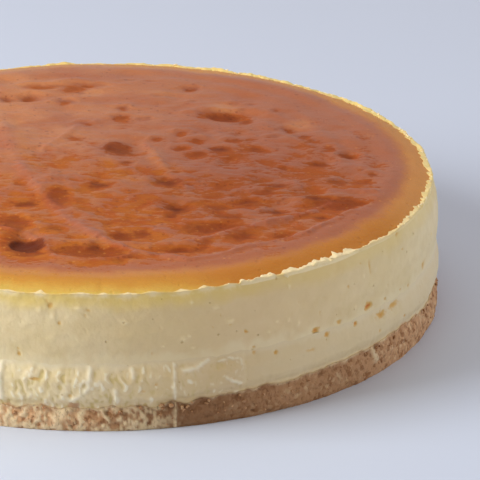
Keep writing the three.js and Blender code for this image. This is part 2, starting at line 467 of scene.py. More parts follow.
def newGroup(name, inputs, outputs):
    tree = bpy.data.node_groups.new(name, "ShaderNodeTree")
    for key, value in inputs.items():
        kind = "NodeSocketColor" if isinstance(value, tuple) else "NodeSocketFloat"
        tree.interface.new_socket(key, in_out="INPUT", socket_type=kind).default_value = value
    for key, kind in outputs.items():
        tree.interface.new_socket(key, in_out="OUTPUT", socket_type="NodeSocket" + kind)
    nodes = Nodes(tree)
    return tree, nodes, nodes.add("NodeGroupInput").outputs, nodes.add("NodeGroupOutput").inputs


def makePinholes():
    # round holes left by air: sparse dots, each its own size
    inputs = {"Scale": 200.0, "Size": 0.12, "Share": 0.3}
    tree, nodes, given, result = newGroup("pinholes", inputs, {"Mask": "Float"})
    cells = nodes.add("ShaderNodeTexVoronoi", {"Vector": nodes.place(), "Scale": given["Scale"]}).outputs
    chance = nodes.add("ShaderNodeSeparateColor", {"Color": cells["Color"]}).outputs
    reach = nodes.times(given["Size"], nodes.math("ADD", chance[1], 0.35))
    dot = nodes.between(nodes.math("DIVIDE", cells["Distance"], reach), 0.5, 1.2, 1.0, 0.0)
    chosen = nodes.math("LESS_THAN", chance[0], given["Share"])
    nodes.put(result["Mask"], nodes.times(dot, chosen))
    return tree


def makeMottle():
    # a colour that drifts towards another in soft clouds
    inputs = {"Colour": (0.8, 0.8, 0.8, 1), "Drift": (0.7, 0.7, 0.7, 1), "Scale": 50.0, "Strength": 0.5}
    tree, nodes, given, result = newGroup("mottle", inputs, {"Colour": "Color"})
    settings = {"Vector": nodes.place(), "Scale": given["Scale"], "Detail": 3.0}
    clouds = nodes.add("ShaderNodeTexNoise", settings).outputs[0]
    share = nodes.times(nodes.between(clouds, 0.35, 0.65), given["Strength"])
    nodes.put(result["Colour"], nodes.mix(share, given["Colour"], given["Drift"]))
    return tree


pinholes = makePinholes()
mottle = makeMottle()
print("node groups ready")


# Browned top: ripples of glossy skin round sunken patches, smooth near the lip

topLook = {
    "spacing": 0.76 * mm,
    # mm: depth and height, then how much wider than deep
    "ripples": ((14, 0.4, 1), (4.6, 0.36, 1.8), (2.1, 0.3, 1.8)),
    "hollowSlope": 0.11,         # how deep a patch is for its reach
    "ridgeRise": 0.8,            # mm
    "browRise": 0.08,            # of a patch's reach, beyond its far edge
    # mm from the middle: where the patches end, and where the ripples get lower
    "smoothBand": (102, 110),
    "calmRing": (84, 100),
    # mm along y or across x, from 0 to 1: the back, the glossy front, its glaze, the tan side, the gloss
    "backAlong": (-70, 60),
    "frontAlong": (20, -15),
    "frontAcross": (70, 10),
    "glazeAlong": (20, -40),
    "tanAlong": (-90, 40),
    "tanAcross": (80, -60),
    "glossAlong": (-60, 110),
    "deepest": (50, -20, 60),    # mm: x, y and reach of the spot towards which the top is painted darker
    "pit": (-27.2, -85.2, 6.1, 5.9),   # mm: x, y, half width, half depth
    "blister": (6, 16, 6.5, 8.5),
    "pitDeep": 1.3,              # mm
    "blisterRise": 0.4,
    "smallPatches": 75,
    "calmRim": (6 * mm, 20 * mm),    # the relief fades out between these distances from the lip
    "maskReach": 40 * mm,        # the distance from the lip at which the inset mask is 1
    "smoothing": 10,             # rounds that take the solid's facets out
    "thick": 4 * mm,             # from the lip down to the flat underside
    "tuck": 0.5 * mm,            # how far its edge goes down inside the lip
    "edge": 0.15 * mm,
    "shader": {"IOR": 1.45, "Specular IOR Level": 0.2, "Subsurface Weight": 0.1, "Subsurface Scale": 0.001,
               "Subsurface Radius": (1.0, 0.4, 0.15), "Coat Roughness": 0.28, "Coat IOR": 1.5},
    "rim": asSeen(223, 190, 96),
    "gold": asSeen(222, 177, 82),
    "amber": asSeen(213, 154, 64),
    "orange": asSeen(206, 140, 58),
    "honey": asSeen(203, 132, 68),
    "brownRim": asSeen(195, 121, 46),
    "paleRim": asSeen(228, 192, 116),
    "skin": asSeen(179, 101, 57),
    # painted sheen: the pinkish reflection of the backdrop on the ridges
    "ridgeSheen": asSeen(180, 107, 86),
    "paleSkin": asSeen(203, 129, 78),
    "patch": asSeen(178, 89, 34),
    "patchBrown": asSeen(140, 62, 22),
    # deep browning, also used as painted shade at the far sides of patches and in the pit
    "dark": asSeen(92, 38, 24),
    # painted glints: small bright specular dots
    "paintedGlint": asSeen(226, 152, 78),
    "glaze": asSeen(182, 95, 36),
    "golden": asSeen(201, 121, 42),
    "tanRim": asSeen(216, 150, 88),
}

# Sunken patches, in mm from the middle: x, y, reach, and how dark from 0 to 1
patches = [
    (-28, -43, 4.2, 0.7), (-30, -24, 2.6, 0.5), (-17, -39, 3.8, 0.0), (-19, -72, 4.6, 0.5),
    (-12, -91, 4.6, 0.3), (-3, -90, 5.5, 0.5), (6, -102, 3.0, 0.4), (7, -77, 5.0, 0.4), (14, -74, 4.5, 0.4),
    (19, -96, 3.6, 0.6), (28, -93, 3.4, 0.7), (36, -86, 3.4, 0.7), (50, -78, 5.2, 0.6), (65, -78, 4.4, 0.2),
    (33, -69, 4.6, 0.6), (27, -49, 5.6, 1.0), (25, -56, 3.0, 0.7), (42, -51, 4.6, 0.6), (46, -59, 5.4, 0.5),
    (53, -44, 4.4, 0.6), (63, -54, 4.0, 0.9), (80, -61, 3.2, 0.5), (61, -34, 4.0, 0.5), (65, -27, 4.6, 0.8),
    (78, -42, 4.4, 0.8), (90, -43, 4.8, 0.5), (86, -50, 3.2, 0.3), (88, -24, 3.6, 0.5), (97, -23, 4.6, 0.2),
    (101, -16, 3.0, 0.7), (109, -12, 1.6, 0.5), (82, -2, 3.4, 0.8), (68, -6, 2.4, 0.3), (93, 7, 3.6, 0.5),
    (87, 14, 3.0, 0.3), (24, -22, 5.4, 1.0), (-1, -25, 4.4, 0.8), (9, -1, 2.8, 0.8), (8, -12, 3.2, 0.1),
    (-14, -19, 3.6, 0.2), (44, 12, 4.5, 0.9), (36, 8, 3.8, 0.5), (30, 14, 3.2, 0.4), (36, 23, 3.6, 0.4),
    (30, 31, 3.0, 0.3), (21, 24, 3.0, 0.4), (59, 13, 3.4, 0.4), (50, 22, 3.0, 0.5), (66, 26, 2.6, 0.6),
    (72, 36, 3.0, 0.5), (77, 27, 3.0, 0.6), (49, 52, 5.2, 0.6), (55, 46, 4.0, 0.7), (42, 52, 4.2, 0.5),
    (-11, 27, 3.2, 0.2), (-7, 44, 3.0, 0.6), (7, 51, 3.6, 0.5), (16, 49, 2.6, 0.6), (8, 61, 3.0, 0.5),
    (-28, 75, 4.2, 0.7), (-37, 73, 3.0, 0.6), (-14, 70, 3.4, 0.5), (-11, 86, 5.4, 0.3), (35, 84, 3.4, 0.7),
    (102, 53, 4.0, 0.1),
]

# Longer ones: x, y, half width, half depth, and how dark; and paler spots: x, y, reach
longPatches = [
    (-5, -91, 14, 5.5, 0.15), (-17, -39, 4.5, 13, 0.0), (-24, 87, 9, 2.6, 0.3), (-6, 88, 8, 2.6, 0.3),
    (88, -46, 11, 6, 0.3), (47, 53, 10, 5, 0.4), (-33, -66, 6, 9, 0.1), (42, -69, 12, 5, 0.2),
    (-28, -86, 8.5, 8.5, 0.2), (26, -91, 11, 4.0, 0.25), (10, -97, 8, 2.8, 0.2),
]
paleSpots = [(-23, 48, 8), (-38, 46, 8), (-3, 79, 6), (19, 76, 6), (47, 62, 5), (76, 42, 5)]

# Ridges of skin and golden streaks, in mm from the middle: half width, then the points of the line
skinRidges = [
    (2.0, [(-38, 44), (-36, 24), (-33, 8), (-30, -7), (-27, -17), (-23, -29), (-18, -45), (-13, -61),
           (-7, -70), (-1, -78)]),
    (1.2, [(-1, -78), (3, -84), (11, -91), (20, -97), (30, -101), (39, -98), (51, -90), (62, -83), (74, -75),
           (81, -66), (91, -53)]),
    (1.1, [(-19, -91), (-17, -97), (-11, -100), (-6, -101), (0, -100), (6, -98), (11, -94)]),
    (1.3, [(-38, -67), (-34, -70), (-27, -72), (-22, -81), (-20, -90)]),
    (1.5, [(30, -83), (41, -77), (52, -69), (65, -62), (76, -54), (84, -45)]),
    (1.3, [(-23, 14), (-20, 22), (-14, 31), (-10, 41), (-6, 45), (0, 48)]),
    (1.6, [(16, 23), (20, 8), (23, -7), (27, -16), (31, -28)]),
    (1.4, [(84, -32), (92, -32), (100, -33)]),
]
goldStreaks = [
    (2.2, [(-33, 49), (-31, 24), (-29, 4), (-26, -10)]),
    (3.0, [(1, 3), (4, -6), (7, -15), (12, -19)]),
    (2.6, [(18, 14), (21, 0), (24, -9)]),
    (1.5, [(15, 80), (28, 80)]),
]

# The rim by degrees from the front: how narrow its yellow is, how brown and how pale it is
rimShift = {-180: 0.03, -120: 0.03, -30: 0, -20: -0.02, 8: 0, 22: 0.08, 55: 0.09, 72: 0.11, 105: 0.12,
            128: 0.1, 160: 0.05, 180: 0.03}
rimBrown = {-180: 0.2, -40: 0.1, 0: 0.1, 14: 0.3, 22: 1, 55: 1, 66: 0.6, 78: 0.25, 180: 0.2}
rimPale = {-180: 0.8, -120: 0.7, -60: 0.3, -20: 0, 56: 0, 70: 0.75, 100: 0.85, 130: 0.9, 180: 0.8}


def oval(flat, shape, wobble, outerEdge, innerEdge):
    # 1 inside an oval of the top and 0 outside it
    x, y, halfWide, halfDeep = shape
    away = np.hypot((flat[:, 0] - x) / halfWide, (flat[:, 1] - y) / halfDeep)
    return smoothStep(outerEdge, innerEdge, away + 0.12 * wobble)


def allHollows(s):
    # the listed patches and many small seeded ones
    random = np.random.default_rng(31)
    hollows = [(x, y, reach, reach, tone) for x, y, reach, tone in patches] + longPatches
    for _ in range(s["smallPatches"]):
        turn, out = random.uniform(0, fullTurn), 98 * math.sqrt(random.uniform(0.02, 1))
        wide, deep = random.uniform(1.2, 3.2), random.uniform(0.9, 1.9)
        hollows.append((math.sin(turn) * out, -math.cos(turn) * out, wide, deep, random.uniform(0, 0.5)))
    return hollows


def topFields(place, s):
    # relief in mm and the masks: low is how far down a point lies, and dark how deeply it is browned, with
    # painted shade at each patch's far side and in the pit
    fadeOut = 1.6                # a patch ends at so many times its reach
    flat = place[:, :2] / mm
    level = place * np.array([1, 1, 0])
    wobble = 1.3 * lumps(level, 4, 11.1) + 1.0 * lumps(level, 1.8, 4.7)
    depth, dark, brow = np.zeros((3, len(place)))
    for x, y, halfWide, halfDeep, tone in allHollows(s):
        across, along = (flat[:, 0] - x) / halfWide, (flat[:, 1] - y) / halfDeep
        near = np.hypot(across, along) < fadeOut + 1.2
        across, along = across[near], along[near]
        reach = math.sqrt(halfWide * halfDeep)
        away = np.hypot(across, along) + wobble[near] / reach
        share = smoothStep(fadeOut, 0.1, away)
        depth[near] = np.maximum(depth[near], share * reach * s["hollowSlope"])
        # painted shade: each patch darkens towards its far side, the shade under its far rim
        dark[near] = np.maximum(dark[near], share * tone * np.clip(0.5 + 0.7 * along, 0.1, 1))
        far = np.clip(0.3 + 0.7 * along / np.maximum(away, 0.1), 0, 1)
        brow[near] = np.maximum(brow[near], hump(away - fadeOut, 0.45) * far * reach)
    uneven = np.clip(0.85 + 0.9 * lumps(level, 13, 5.9), 0.4, 1.3)
    ridge = np.zeros(len(place))
    for half, line in skinRidges:
        ridge = np.maximum(ridge, hump(awayFromLine(flat, line) + 0.7 * wobble, 1.2 * half) * uneven)
    out = np.hypot(*flat.T) + 2 * wobble
    band = smoothStep(*s["smoothBand"], out)
    back = smoothStep(*s["backAlong"], flat[:, 1])
    ridge *= 1 - 0.5 * back
    calm = (1 - 0.55 * back) * (1 - 0.5 * smoothStep(*s["calmRing"], out))
    ripple = np.zeros(len(place))
    for deep, tall, stretch in s["ripples"]:
        drawn = level / np.array([stretch, 1, 1])
        ripple += tall * lumps(drawn, deep, 2.2 * deep) * (calm if deep < 9 else 1)
    relief = ripple * (1 - 0.6 * band) - depth * (1 - band) + s["ridgeRise"] * ridge + s["browRise"] * brow
    front = smoothStep(*s["frontAlong"], flat[:, 1]) * smoothStep(*s["frontAcross"], flat[:, 0])
    glaze = np.maximum(front, 0.45 * smoothStep(*s["glazeAlong"], flat[:, 1]))
    glaze = glaze * (1 - band) - ridge - 0.8 * ripple
    low = 0.48 - 0.1 * back + 0.06 * front - 0.3 * band - 0.5 * ridge - 0.06 * brow
    low += depth * (1 - band) / 0.65 - ripple * (1 - 0.35 * back) * (1 - 0.6 * band) / 0.7
    pit, blister = oval(flat, s["pit"], wobble, 1.15, 0.75), oval(flat, s["blister"], wobble, 1.35, 0.55)
    relief += s["blisterRise"] * blister - s["pitDeep"] * pit
    low = np.clip(np.maximum(low, np.maximum(1.2 * pit, 0.95 * blister)), 0, 1.4)
    # the pit gets painted shade here, and the blister its own dark
    dark = np.clip(dark + 0.8 * oval(flat, s["pit"], wobble, 1.2, 1.0) + 0.5 * blister, 0, 1)
    tan = smoothStep(*s["tanAcross"], flat[:, 0]) * smoothStep(*s["tanAlong"], flat[:, 1])
    for x, y, reach in paleSpots:
        tan = np.maximum(tan, 1.5 * hump(np.hypot(flat[:, 0] - x, flat[:, 1] - y) + wobble, reach))
    deepX, deepY, deepReach = s["deepest"]
    streak = np.zeros(len(place))
    for half, line in goldStreaks:
        streak = np.maximum(streak, hump(awayFromLine(flat, line) + 1.5 * wobble, half))
    return {"relief": relief, "low": low, "dark": dark, "tan": tan, "streak": streak,
            "glazed": np.clip(glaze, 0, 1), "ridge": np.clip(ridge, 0, 1) * (1 - band),
            "gloss": smoothStep(*s["glossAlong"], flat[:, 1] - 0.25 * flat[:, 0]),
            "deep": hump(np.hypot((flat[:, 0] - deepX) / deepReach, (flat[:, 1] - deepY) / deepReach), 1.0)}


def makeTop(s):
    rimCount = round(fullTurn * cakeRadius / s["spacing"])
    rings = [
        ringOf(1, 0, meanLip - s["thick"]),
        ringOf(rimCount // 6, inner, meanLip - s["thick"]),
        ringOf(rimCount, lambda t: lipRadius(t) - s["edge"], lambda t: lipHeight(t) - s["tuck"]),
        ringOf(rimCount, lambda t: lipRadius(t) - s["edge"], lambda t: lipHeight(t) - s["edge"]),
    ]
    firstTop = len(rings)
    rows = round(cakeRadius / s["spacing"])
    for share in np.arange(rows - 1, 0, -1) / rows:
        count = max(6, round(rimCount * share))
        rings.append(ontoTop(ringOf(count, lambda t: lipRadius(t) * share, lipHeight)))
    rings.append(ontoTop(ringOf(1, 0, meanLip)))
    shell = shellOf(rings)
    onTop = shell["row"] >= firstTop
    shell["place"][:, 2] = smoothed(shell, shell["place"][:, 2], s["smoothing"], onTop)

    turn, place = shell["turn"], shell["place"]
    inset = lipRadius(turn) - np.hypot(place[:, 0], place[:, 1])
    masks = topFields(place, s)
    raiseBy(shell, masks.pop("relief") * mm * smoothStep(*s["calmRim"], inset) * onTop)
    masks["inset"] = np.clip(inset / s["maskReach"], 0, 1)
    for mask, table in (("shift", rimShift), ("rimBrown", rimBrown), ("rimPale", rimPale)):
        masks[mask] = byDegrees(turn, table)
    return makePiece("browned_top", shell, brownedSkin(s), masks, "upper_filling")


def brownedSkin(s):
    material, nodes, shader = newMaterial("browned_skin", s["shader"])
    inset = nodes.mask("inset")
    ragged = nodes.times(nodes.math("SUBTRACT", nodes.noise(9.0, 4.0, 0.6), 0.5), 0.18)
    fine = nodes.noise(1.5, 4.0, 0.65, (1.8, 1.0, 1.0))
    within = nodes.math("ADD", inset, ragged)
    edge = nodes.math("ADD", within, nodes.mask("shift"))
    ring = nodes.ramp(edge, [(0.0, s["rim"]), (0.06, s["gold"]), (0.14, s["amber"]), (0.22, s["orange"]),
                             (0.34, s["honey"]), (0.46, s["skin"])])
    ring = nodes.tint(ring, s["brownRim"], "rimBrown", nodes.between(edge, 0.2, 0.42, 0.85, 0.0))
    ring = nodes.tint(ring, s["paleRim"], "rimPale", nodes.between(edge, 0.02, 0.2, 0.9, 0.0))
    ring = nodes.tint(ring, s["tanRim"], "rimPale", nodes.between(edge, 0.12, 0.55, 0.9, 0.0))
    inland = nodes.between(edge, 0.28, 0.46)
    paleClouds = nodes.between(nodes.noise(26.0, 2.0), 0.3, 0.6)
    colour = nodes.tint(s["skin"], s["paleSkin"], "tan", paleClouds)
    glaze = nodes.clouded(s["glaze"], s["golden"], 80.0, 0.55)
    colour = nodes.tint(colour, glaze, "glazed", nodes.between(fine, 0.48, 0.62, 1.0, 0.1))
    drift = nodes.mix(nodes.mask("glazed"), s["patchBrown"], s["golden"])
    patchTone = nodes.clouded(s["patch"], drift, 170.0, 0.55)
    frontness = nodes.math("MULTIPLY_ADD", nodes.mask("gloss"), -1.1, 1.4)
    speckle = nodes.times(nodes.math("SUBTRACT", fine, 0.5), frontness)
    low = nodes.math("ADD", speckle, nodes.mask("low"))
    duller = nodes.math("MULTIPLY_ADD", nodes.mask("gloss"), -0.4, 1.0)
    colour = nodes.mix(nodes.times(nodes.between(low, 0.3, 0.85), duller), colour, patchTone)
    colour = nodes.mix(nodes.between(low, 0.8, 1.4, 0.0, 0.7), colour, s["patchBrown"])
    # painted sheen: ridges tinted towards the pinkish reflection of the backdrop
    colour = nodes.tint(colour, s["ridgeSheen"], "ridge", 0.3)
    specks = nodes.dots(420.0, 0.3, 0.3)
    colour = nodes.mix(nodes.times(specks, 0.4), colour, s["patchBrown"])
    # painted glints: small bright dots, most at the front
    bright = nodes.times(nodes.dots(560.0, 0.3, 0.14), nodes.times(frontness, 0.3))
    colour = nodes.mix(bright, colour, s["paintedGlint"])
    colour = nodes.tint(colour, s["patchBrown"], "deep", 0.5)
    colour = nodes.mix(inland, ring, colour)
    colour = nodes.tint(colour, s["golden"], "streak", 0.3)
    darkShare = nodes.times(nodes.math("POWER", nodes.mask("dark"), 1.3), 0.9)
    colour = nodes.mix(darkShare, colour, s["dark"])
    nodes.put(shader["Base Color"], colour)
    shinyBelow = nodes.math("MULTIPLY_ADD", nodes.mask("gloss"), 0.45, 0.44)
    shiny = nodes.between(nodes.math("SUBTRACT", low, shinyBelow), -0.14, 0.14, 1.0, 0.0)
    coat = nodes.between(within, 0.2, 0.32, 0.0, 0.55)
    nodes.put(shader["Coat Weight"], nodes.times(shiny, coat))
    nodes.put(shader["Roughness"], nodes.between(shiny, 0.0, 1.0, 0.62, 0.45))
    height = nodes.math("SUBTRACT", fine, nodes.times(specks, 0.4))
    nodes.put(shader["Normal"], nodes.bump(height, 0.5 * mm, 0.7))
    return material


makeTop(topLook)
print("browned top ready")


# Upper cream: smooth wall with pinholes, ending in a torn lip

creamFlesh = {"IOR": 1.45, "Subsurface Weight": 0.04, "Subsurface Scale": 0.0008,
              "Subsurface Radius": (1.0, 0.55, 0.25)}

upperLook = {
    "wallRows": 34,
    # a hidden face: how far its edge is set back, then mm over the seam at its middle, inside and edge
    "under": (1.5 * mm, (1, 0.5, 0.3)),
    # how far from the seam and from the lip the wall turns towards what it meets there
    "seamTurn": 12 * mm,
    "lipTurn": 5 * mm,
    "calm": 2 * mm,            # over the seam, where the wall's relief grows
    "lipFade": 10 * mm,        # how far the lip's colour and the seam's reach
    "seamFade": 8 * mm,
    "wallEnd": 0.9 * mm,       # under the lip
    "thick": 6 * mm,           # from the lip down to where its fold ends inside
    "holeDepth": 0.6 * mm,
    "fleckRise": 0.4 * mm,
    "unevenness": 0.2 * mm,
    "lipGrain": 0.15 * mm,
    "lumps": ((1, 9, 7, 5.5), (0.6, 3, 2.5, 1.5)),
    # seed, number, lowest and highest in mm, half sizes in mm
    "smallHoles": (5, 70, 28, 48, (0.3, 0.7)),
    "smallFlecks": (6, 30, 28, 48, (0.4, 0.8)),
    "tornRise": 1.4 * mm,
    "leastReach": 0.3 * mm,
    "tornReach": 3.0 * mm,     # how far in the torn cream lies over the browned top, beyond the least
    # the lip's rings, in mm out and up, then the share of the torn rise
    "lipRings": ((0.0, -0.5, 0), (0.05, -0.15, 0.25), (0.12, -0.05, 0.6), (0.02, 0.03, 1)),
    # the rings over the top and back under it: shares of the torn reach and rise, then mm up
    "foldRings": ((0.2, 0.9, 0.1), (0.45, 0.65, 0.1), (0.75, 0.4, 0.1), (1.0, 0.15, 0.1), (1.03, -2.0, -0.2),
                  (1.5, -3.0, -0.2)),
    "shader": {**creamFlesh, "Roughness": 0.5, "Specular IOR Level": 0.4},
    "bubbles": (300.0, 0.1, 0.35),    # scale, size and share of the small ones
    "grain": (2.2, 4.0),              # mm and detail of the fine relief
    "bump": (0.45 * mm, 0.9),
    "colour": asSeen(238, 217, 172),
    "drift": asSeen(230, 207, 154),
    "cloud": asSeen(221, 197, 146),
    "foot": asSeen(241, 224, 184),
    "underLip": asSeen(236, 206, 120),
    "corner": asSeen(230, 192, 104),
    # pale torn cream of its own, made near white as a painted highlight where it faces up
    "torn": asSeen(250, 229, 182),
    "tornYellow": asSeen(242, 216, 134),
    # painted shade, darker and yellower, where the lamps light the wall least
    "sideShade": asSeen(230, 200, 155),
    # painted shade inside the holes and bubbles, darker where deeper
    "hole": asSeen(220, 176, 100),
    "deepHoleShade": asSeen(204, 118, 44),
}

# Holes in the wall: degrees from the front, then mm: height, half width, half height, and how deep and dark,
# the dark painted as shade inside
upperHoles = [
    (-8.7, 47.8, 1.1, 1.4, 0.5), (-9.2, 49.5, 0.8, 0.6, 0.4), (-7.2, 41.4, 0.7, 0.7, 0.5),
    (-2.5, 46.5, 1.3, 0.6, 0.4), (-3.1, 44.4, 0.6, 0.7, 0.4), (-14, 30.4, 0.7, 0.6, 0.5),
    (-13.9, 28.4, 0.8, 0.8, 0.6), (7.6, 29.1, 0.7, 1.0, 0.25), (20.6, 37.0, 0.9, 0.5, 0.3),
    (23.4, 33.5, 0.7, 0.6, 1.0), (33.3, 40, 0.6, 0.6, 0.2), (37.7, 33.5, 0.6, 1.7, 0.25),
    (44, 39.8, 0.7, 0.7, 0.5), (25, 26.4, 0.9, 0.8, 0.4), (37, 27.0, 1.7, 1.1, 0.75),
    (42.3, 27.0, 1.5, 0.8, 0.6), (49.5, 28.4, 2.1, 1.5, 1.0), (49.5, 44.2, 0.8, 2.7, 0.35),
    (54.4, 27.8, 1.0, 0.7, 0.5), (59.5, 27.4, 0.9, 0.6, 0.5), (62.7, 26.6, 1.1, 0.8, 0.5),
    (60, 43, 0.8, 0.6, 0.4), (58.8, 49.6, 1.3, 0.8, 0.5), (70, 28.6, 1.7, 2.2, 0.45),
]
upperFlecks = [
    (-10.3, 46, 1.2, 0.9, 1), (-8.2, 43.7, 0.9, 1.1, 1), (-4, 47, 1.8, 0.8, 1), (3.3, 41.8, 1.1, 0.8, 1),
    (12.7, 34.2, 1.0, 0.9, 1), (18.1, 44.6, 0.9, 0.8, 0.7), (20.6, 38.6, 1.3, 0.7, 0.7),
    (29, 35, 0.8, 0.7, 0.5),
]

# The torn lip's strength and how yellow it is, by degrees from the front
tornStrength = {-180: 0.6, -150: 0.5, -110: 0.4, -75: 0.6, -45: 0.15, -30: 0.45, -20: 0, 22.4: 0, 22.8: 0.95,
                28.6: 0.95, 29.2: 0.35, 30.4: 0.35, 31: 1.2, 45.5: 1.1, 47.5: 0.5, 54: 0.65, 58: 0.45,
                63: 0.75, 68: 0.65, 80: 0.75, 95: 0.85, 135: 0.85, 180: 0.6}
tornYellow = {-180: 0.8, -120: 0.6, -60: 0.2, -20: 0, 56: 0, 75: 0.6, 120: 0.9, 180: 0.8}

# Noise in how far it stands up and reaches in: how much, width in mm, height and seed
riseLayers = ((0.15, 1, 1, 5.2), (0.6, 5.5, 1, 8.1), (0.4, 2.4, 1, 2.6))
reachLayers = ((-0.2, 1, 1, 5.2), (0.6, 4.2, 1, 3.7), (0.5, 1.9, 1, 6.6))

# Bright dashes along the lip left of the torn part, raised bits painted pale as highlights on the crest:
# degrees from the front, half width in mm
lipDashes = [(-15.5, 1.6), (-10.3, 0.9), (-3.4, 1.6), (-0.1, 0.8), (3.8, 1.8), (7.9, 1.0), (12.7, 1.3),
             (16.6, 1.6), (20.8, 1.0)]

# How yellow the wall is under the lip, and how much painted shade darkens the wall, by degrees from the
# front
lipYellow = {-180: 0.8, -25: 0.9, 0: 1, 16: 0.9, 28: 0.55, 42: 0.4, 100: 0.5, 180: 0.8}
upperSideShade = {-180: 0, -8: 0, 10: 0.55, 24: 1, 36: 0.7, 52: 0.2, 66: 0, 180: 0}


def wallMarks(turn, height, marks):
    # how strongly each point of the wall lies in one of the marks, and the darkest of them
    share = np.zeros(len(turn))
    tone = np.zeros(len(turn))
    uneven = 1 + 0.6 * wallLumps(turn, height, 1.1, 0.9, 9.4)
    for degrees, z, halfWide, halfTall, dark in marks:
        across = alongWall(turn, degrees) / (halfWide * mm)
        here = hump(np.hypot(across, (height - z * mm) / (halfTall * mm)) * uneven, 0.9)
        share = np.maximum(share, here)
        tone = np.maximum(tone, here * dark)
    return share, tone


def seededMarks(seed, count, low, high, reach):
    # small marks all round, between two heights and two sizes in mm
    random = np.random.default_rng(seed)
    lows, highs = (-180, low, reach[0], reach[0], 0.05), (180, high, reach[1], reach[1], 0.35)
    return [tuple(random.uniform(lows, highs)) for _ in range(count)]


def tornShares(turn):
    # how far the torn cream stands up, how far it reaches in, and how strong it is
    flat = 0 * turn
    strength, dash = byDegrees(turn, tornStrength), flat
    for degrees, half in lipDashes:
        dash = np.maximum(dash, hump(alongWall(turn, degrees) / mm, 1.4 * half))
    rise = np.clip(layered(turn, flat, riseLayers, 0.65), 0, 1.25)
    reach = np.clip(layered(turn, flat, reachLayers, 0.65), 0.15, 1.25)
    return (rise * np.maximum(strength, 0.2 * dash), reach * np.maximum(strength, 0.5 * dash),
            np.maximum(strength, 0.4 * dash))


def makeUpper(s):
    def wallTop(turn):
        return lipHeight(turn) - s["wallEnd"]

    rings = hiddenFace(levelSeam, *s["under"])
    firstWall = len(rings)
    for ring in wallRings(upperTree, s["wallRows"], (upperUnder, wallTop), (levelSeam, wallTop)):
        fromSeam = ring["place"][:, 2] - levelSeam(ring["turn"])
        toLip = wallTop(ring["turn"]) - ring["place"][:, 2]
        drawnTo(ring, lipRadius, smoothStep(s["lipTurn"], 0, toLip))
        rings.append(drawnTo(ring, levelLine, smoothStep(s["seamTurn"], 0, fromSeam)))
    firstLip = len(rings)
    rise, reach, strength = tornShares(rings[-1]["turn"])
    rise, reach = rise * s["tornRise"], s["leastReach"] + reach * s["tornReach"]
    for out, up, share in s["lipRings"]:
        wide = out * mm * (0.3 + 1.7 * strength)
        lifted = up * mm + share * rise
        rings.append(ringOf(wallCount, lambda t: lipRadius(t) + wide, lambda t: lipHeight(t) + lifted))
    for share, over, up in s["foldRings"]:
        ring = ontoTop(ringOf(wallCount, lambda t: lipRadius(t) - share * reach, lipHeight))
        ring["place"][:, 2] += over * rise + up * mm
        rings.append(ring)
    firstInside = len(rings)
    under = meanLip - s["thick"]
    rings += [ringOf(wallCount // 8, inner, under), ringOf(1, 0, under)]
    shell = shellOf(rings)

    turn, height = shell["turn"], shell["place"][:, 2].copy()
    wall, lip = rowsOf(shell, firstWall, firstLip), rowsOf(shell, firstLip, firstInside)
    holes, tone = wallMarks(turn, height, upperHoles + seededMarks(*s["smallHoles"]))
    dashes = [(degrees, float(lipHeight(math.radians(degrees))) / mm - 0.2, 2.8 * half, 1.4, 1)
              for degrees, half in lipDashes]
    flecks, _ = wallMarks(turn, height, upperFlecks + seededMarks(*s["smallFlecks"]))
    dashed, _ = wallMarks(turn, height, dashes)
    fromSeam = height - levelSeam(turn)
    rough = layered(turn, height, s["lumps"])
    relief = s["unevenness"] * rough * wall * smoothStep(0, s["calm"], fromSeam)
    relief += (s["fleckRise"] * flecks - s["holeDepth"] * holes * (0.4 + 0.6 * tone)) * (wall | lip)
    flecks = np.maximum(flecks, dashed)
    relief += s["lipGrain"] * wallLumps(turn, height, 1.3, 0.9, 6.5) * lip
    raiseBy(shell, relief)
    bright = roundLine(rings[firstWall]["turn"], strength)(turn)
    masks = {"hole": np.clip(tone * 1.2, 0, 1), "fleck": flecks * (wall | lip),
             "torn": lip * np.clip(bright * 1.3 - 0.2, 0, 1),
             "fromLip": np.clip((lipHeight(turn) - height) / s["lipFade"], 0, 1),
             "fromSeam": np.clip(fromSeam / s["seamFade"], 0, 1)}
    for mask, table in (("yellow", lipYellow), ("tornYellow", tornYellow), ("sideShade", upperSideShade)):
        masks[mask] = byDegrees(turn, table)
    return makePiece("upper_cream", shell, wallCream(s), masks, "upper_filling")


def finishCream(nodes, shader, s, colour):
    # sets the colour with painted shade in its bubbles and holes, and the fine relief
    small, hole = nodes.dots(*s["bubbles"]), nodes.mask("hole")
    colour = nodes.mix(nodes.times(small, 0.3), colour, s["hole"])
    colour = nodes.mix(nodes.between(hole, 0.05, 0.55), colour, s["hole"])
    colour = nodes.mix(nodes.between(hole, 0.5, 1.0), colour, s["deepHoleShade"])
    nodes.put(shader["Base Color"], colour)
    height = nodes.math("SUBTRACT", nodes.times(nodes.noise(*s["grain"]), 0.6), small)
    nodes.put(shader["Normal"], nodes.bump(height, *s["bump"]))


